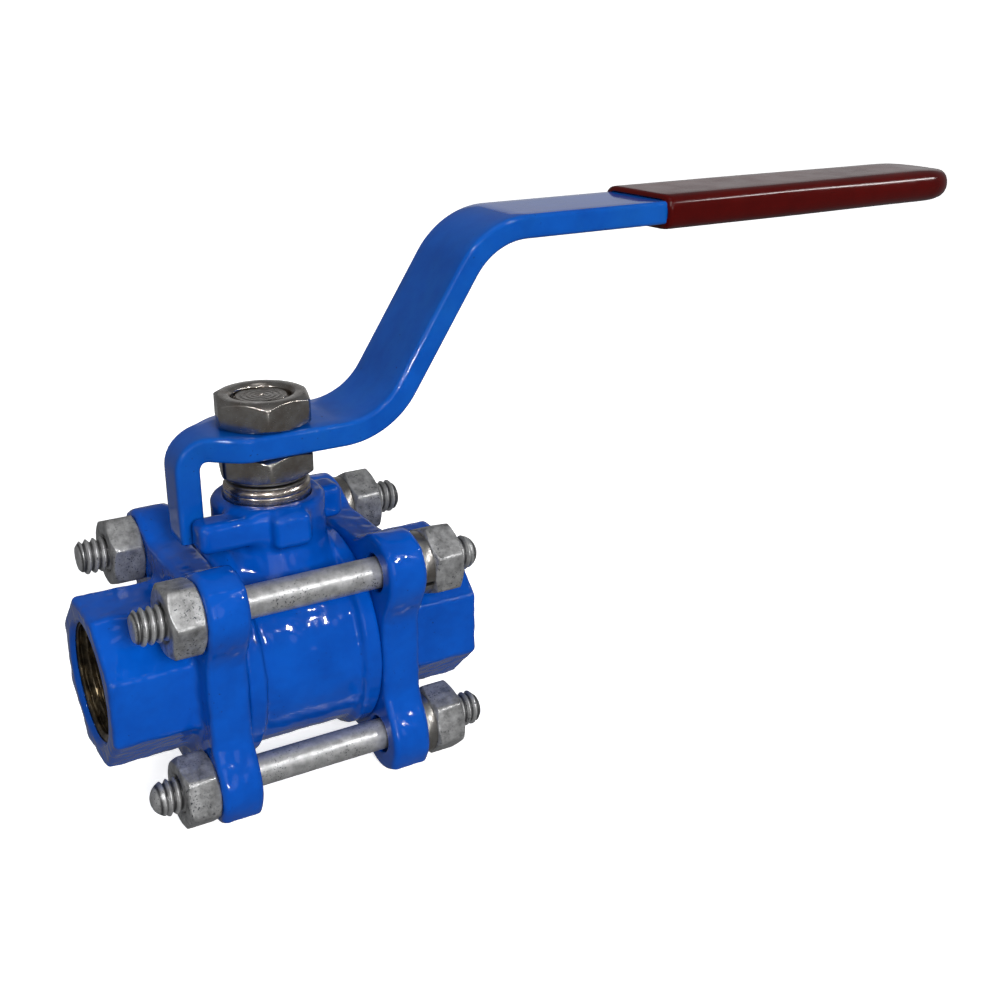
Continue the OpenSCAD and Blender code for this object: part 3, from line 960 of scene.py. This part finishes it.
def add_inside():
    """Ball, seats, seals, thrust washer and packing, all hidden inside."""
    shape = surface_net(ball_field, (-BALL_R,) * 3, (BALL_R,) * 3, CELL)
    piece("polished_ball", shape, POLISHED, "ball", ["ball"], 60)

    cup_r = BALL_R + 0.1
    cup = np.linspace(math.asin(PORT_BORE_R / cup_r), math.acos(SEAT_IN / cup_r), 10)
    outline = [(cup_r * math.sin(a), cup_r * math.cos(a)) for a in cup]
    outline += [(CAVITY_R - 0.1, SEAT_IN), (CAVITY_R - 0.1, BODY_HALF), (PORT_BORE_R, BODY_HALF)]
    seat = lathe(outline)
    seal = ring(CAVITY_R + 0.05, SEAL_R - 0.05, BODY_HALF - SEAL_T, BODY_HALF)
    for side, turn in (("right", lambda s: s), ("left", mirrored)):
        for kind, shape in (("seat", seat), ("body_seal", seal)):
            name = f"{kind}_{side}"
            piece("ptfe_" + name, turn(about_x(shape)), PTFE, "housing", [name])
    shape = ring(STEM_R + 0.05, POCKET_R - 0.1, *heights("thrust_washer"))
    piece("ptfe_thrust_washer", shape, PTFE, "housing", ["thrust_washer"])
    for level in ("lower", "upper"):
        name = "packing_ring_" + level
        shape = ring(STEM_R + 0.05, BOX_R - 0.05, *heights(name))
        piece("ptfe_" + name, shape, PTFE, "housing", [name])


def stem_shape():
    """Stem from its tang to the flats, with turned steps on its end face."""
    low, high = heights("stem")
    angle = np.arange(96) * TURN / 96
    across, along = np.maximum(np.abs([np.cos(angle), np.sin(angle)]), 1e-6)
    tang = np.minimum(TANG[0] / across, TANG[1] / along)

    def at(z, r):
        r = np.broadcast_to(r, angle.shape)
        return np.stack([r * np.cos(angle), r * np.sin(angle), np.full(96, z)], -1)

    flat = np.minimum(STEM_R, STEM_FLAT / along)
    foot, top = SHOULDER_Z
    rings = [at(low, tang * 0.1), at(low, tang * 0.92), at(low + 0.3, tang), at(foot, tang)]
    rings += [at(foot, SHOULDER_R - 0.3), at(foot + 0.3, SHOULDER_R), at(top - 0.3, SHOULDER_R)]
    rings += [at(top, SHOULDER_R - 0.3), at(top, STEM_R), at(LEVER_Z - 0.02, STEM_R)]
    rings += [at(LEVER_Z, flat), at(high - 0.7, flat), at(high, np.minimum(flat, STEM_R - 0.8))]
    for r in np.arange(3.6, 0.5, -0.22):
        groove = 0.07 * (0.5 + 0.5 * math.cos(TURN * r / 0.9))
        rings.append(at(high - groove, r))
    rings.append(at(high - 0.5, 0.35))
    return skin(rings)


def add_stem_stack():
    """Stem, gland ring, disc springs and the two large nuts."""
    shape = stem_shape()
    piece("turned_stem", shape, DARK_STAINLESS, "handle", ["stem"], 30)

    z0, z1 = heights("gland_ring")
    r_in, r_out = STEM_R + 0.05, BOX_R - 0.05
    outline = [
        (r_in, z0), (r_out, z0), (r_out, COLLAR_TOP + 1.1), (r_out - 0.06, COLLAR_TOP + 1.2),
        (r_out - 0.06, COLLAR_TOP + 1.3), (r_out, COLLAR_TOP + 1.4), (r_out, z1 - 0.5),
        (r_out - 0.4, z1), (r_in, z1),
    ]
    shape = lathe(eased(outline, 0.1))
    piece("turned_gland_ring", shape, BRIGHT_STAINLESS, "housing", ["gland_ring"])

    for level, flip in (("lower", 1), ("upper", -1)):
        name = "disc_spring_" + level
        low, high = heights(name)
        middle = (low + high) / 2
        half = (high - low) / 2
        outline = np.array([(r_in, -0.05), (DISC_R, -half), (DISC_R, 0.05), (r_in, half)])
        outline[:, 1] = middle + flip * outline[:, 1]
        shape = lathe(eased(outline if flip > 0 else outline[::-1], 0.06))
        piece(name + "_cone", shape, SPRING, "handle", [name])

    for name in ("gland_nut", "lever_nut"):
        low, high = heights(name)
        shape = nut(STEM_NUT_AF, high - low, STEM_R + 0.05, STEM_NUT_TURN, 0.95)
        shape = moved(shape, (0, 0, low))
        piece("stainless_" + name, shape, DARK_STAINLESS, "handle", [name], 30)


def washer(gap_deg):
    """Split spring washer about X, its ends sprung slightly apart."""
    width = WASHER_OUT - EAR_OUT
    r_in, r_out = WASHER_R
    outline = [(r_in, 0.08), (r_out, 0.08), (r_out, width - 0.02), (r_in, width - 0.02)]
    r, x = eased(outline, 0.22).T
    rings = []
    for a in np.radians(np.linspace(gap_deg + 4, gap_deg + 356, 90)):
        rings.append(np.stack([EAR_OUT + x, r * math.cos(a), r * math.sin(a)], -1))
    return skin(rings)


def add_fasteners():
    """Studs, nuts and spring washers, each kind one piece of four."""
    studs = [stud(*tips) for tips in STUD_TIPS]
    piece("threaded_studs", at_studs(studs), BRIGHT_ZINC, "housing", ["body_studs"], 50)
    for side, turns in NUT_TURNS.items():
        node = "stud_nuts_" + side
        low, high = box_mm(node)
        nuts = [nut(NUT_AF, high[0] - low[0], STUD_R + 0.02, turn) for turn in turns]
        nuts = [moved(about_x(shape), (low[0], 0, 0)) for shape in nuts]
        piece("zinc_" + node, at_studs(nuts), ZINC, "housing", [node], 30)
    washers = [washer(gap) for gap in WASHER_GAPS]
    piece("split_washers", at_studs(washers), SPRING, "housing", ["spring_washers"])


def add_lever():
    """Lever and its grip."""
    piece("bent_lever", lever_shape(), BAR_BLUE, "handle", ["lever"], 45)
    piece("vinyl_grip", grip_shape(), VINYL, "handle", ["lever_grip"], 50)


# ---------------------------------------------------------------- studio

def add_floor():
    """Pale seamless floor at the valve's lowest point, curved up all round into a backdrop."""
    low = cad_box[0]
    flat, curve, wall = 900, 700, 1500
    bend = np.linspace(0, TURN / 4, 16)
    profile = [(flat + curve * math.sin(a), curve * (1 - math.cos(a))) for a in bend]
    profile = [(r, 0) for r in (0.1, 200, 500)] + profile + [(flat + curve, wall)]
    angle = np.arange(96) * TURN / 96
    rings = [
        np.stack([r * np.cos(angle), r * np.sin(angle), np.full(96, low.z / MM + h)], -1)
        for r, h in profile
    ]
    points, faces = skin(rings)
    mesh = bpy.data.meshes.new("floor")
    mesh.from_pydata((points * MM).tolist(), [], faces[:-1])
    floor = bpy.data.objects.new("floor", mesh)
    bpy.context.scene.collection.objects.link(floor)
    smoothed(floor, 60)
    floor.visible_glossy = False
    floor.visible_diffuse = False
    n = Nodes("pale_floor")
    n.set(Base_Color=n.ramp(n.noise(60, 3), (0.3, 0.80), (0.7, 0.83)), Roughness=0.8)
    n.set(Specular_IOR_Level=0.0, Emission_Color=(1, 1, 1, 1), Emission_Strength=0.8)
    mesh.materials.append(n.material)


def add_light(name, place, aim, size, watts, seen_in):
    """Area light that acts only on diffuse surfaces or only in gloss, as seen_in says."""
    data = bpy.data.lights.new(name, "AREA")
    data.shape = "RECTANGLE"
    data.size, data.size_y = size
    data.energy = watts
    light = bpy.data.objects.new(name, data)
    bpy.context.scene.collection.objects.link(light)
    light.location = place
    light.rotation_euler = (Vector(aim) - Vector(place)).to_track_quat("-Z", "Y").to_euler()
    light.visible_glossy = seen_in != "diffuse"
    light.visible_diffuse = seen_in != "gloss"


def add_studio():
    """Lamps for light, panels and small lamps for reflections, and a dim sky."""
    middle = (0.03, 0, 0.01)
    add_light("key", (-0.05, -0.85, 0.36), middle, (0.35, 0.3), 9.5, "diffuse")
    add_light("left", (-0.8, -0.35, 0.5), middle, (0.4, 0.4), 2.2, "diffuse")
    add_light("top", (0.1, 0.2, 0.9), middle, (0.5, 0.25), 2.4, "diffuse")
    add_light("front_panel", (-0.15, -0.9, 0.3), middle, (0.8, 0.45), 0.9, "gloss")
    add_light("top_panel", (0.0, -0.2, 0.9), middle, (0.4, 0.25), 0.3, "gloss")
    add_light("back_panel", (0.65, 0.75, 0.2), (0.09, 0, 0.07), (0.9, 0.3), 0.25, "gloss")
    add_light("front_glint", (-0.3, -0.7, 0.75), middle, (0.025, 0.025), 2.8, "gloss")
    add_light("left_glint", (-0.73, -0.45, 0.5), middle, (0.035, 0.035), 3.2, "gloss")
    add_light("right_glint", (0.4, -0.75, 0.5), middle, (0.025, 0.025), 2.2, "gloss")
    add_light("grip_strip", (0.74, -0.4, 0.56), (0.12, 0, 0.07), (0.3, 0.06), 2.0, "gloss")
    add_light("low_glint", (-0.1, -0.95, 0.15), middle, (0.025, 0.025), 1.6, "gloss")
    world = bpy.data.worlds.new("studio")
    world.use_nodes = True
    world.node_tree.nodes["Background"].inputs["Color"].default_value = (0.95, 0.97, 1, 1)
    world.node_tree.nodes["Background"].inputs["Strength"].default_value = 0.18
    bpy.context.scene.world = world
    bpy.context.scene.view_settings.view_transform = "Standard"


CAMERA_TURN = math.radians(-31.35)
CAMERA_RISE = math.radians(21.32)
CAMERA_ROLL = math.radians(0.28)
CAMERA_AWAY = 0.25385
CAMERA_AIM = Vector((0.04669, 0, 0.01685))
CAMERA_LENS = 47.74


def add_camera():
    """Camera that looks down on the valve from its front left."""
    back = Vector(
        (
            math.sin(CAMERA_TURN) * math.cos(CAMERA_RISE),
            -math.cos(CAMERA_TURN) * math.cos(CAMERA_RISE),
            math.sin(CAMERA_RISE),
        )
    )
    data = bpy.data.cameras.new("camera")
    data.sensor_width = 36
    data.lens = CAMERA_LENS
    data.clip_start = 0.01
    camera = bpy.data.objects.new("camera", data)
    bpy.context.scene.collection.objects.link(camera)
    camera.location = CAMERA_AIM + back * CAMERA_AWAY
    camera.rotation_euler = (-back).to_track_quat("-Z", "Y").to_euler()
    camera.rotation_euler.rotate_axis("Z", CAMERA_ROLL)
    bpy.context.scene.camera = camera


add_castings()
add_inside()
add_stem_stack()
add_fasteners()
add_lever()
add_floor()
add_studio()
add_camera()
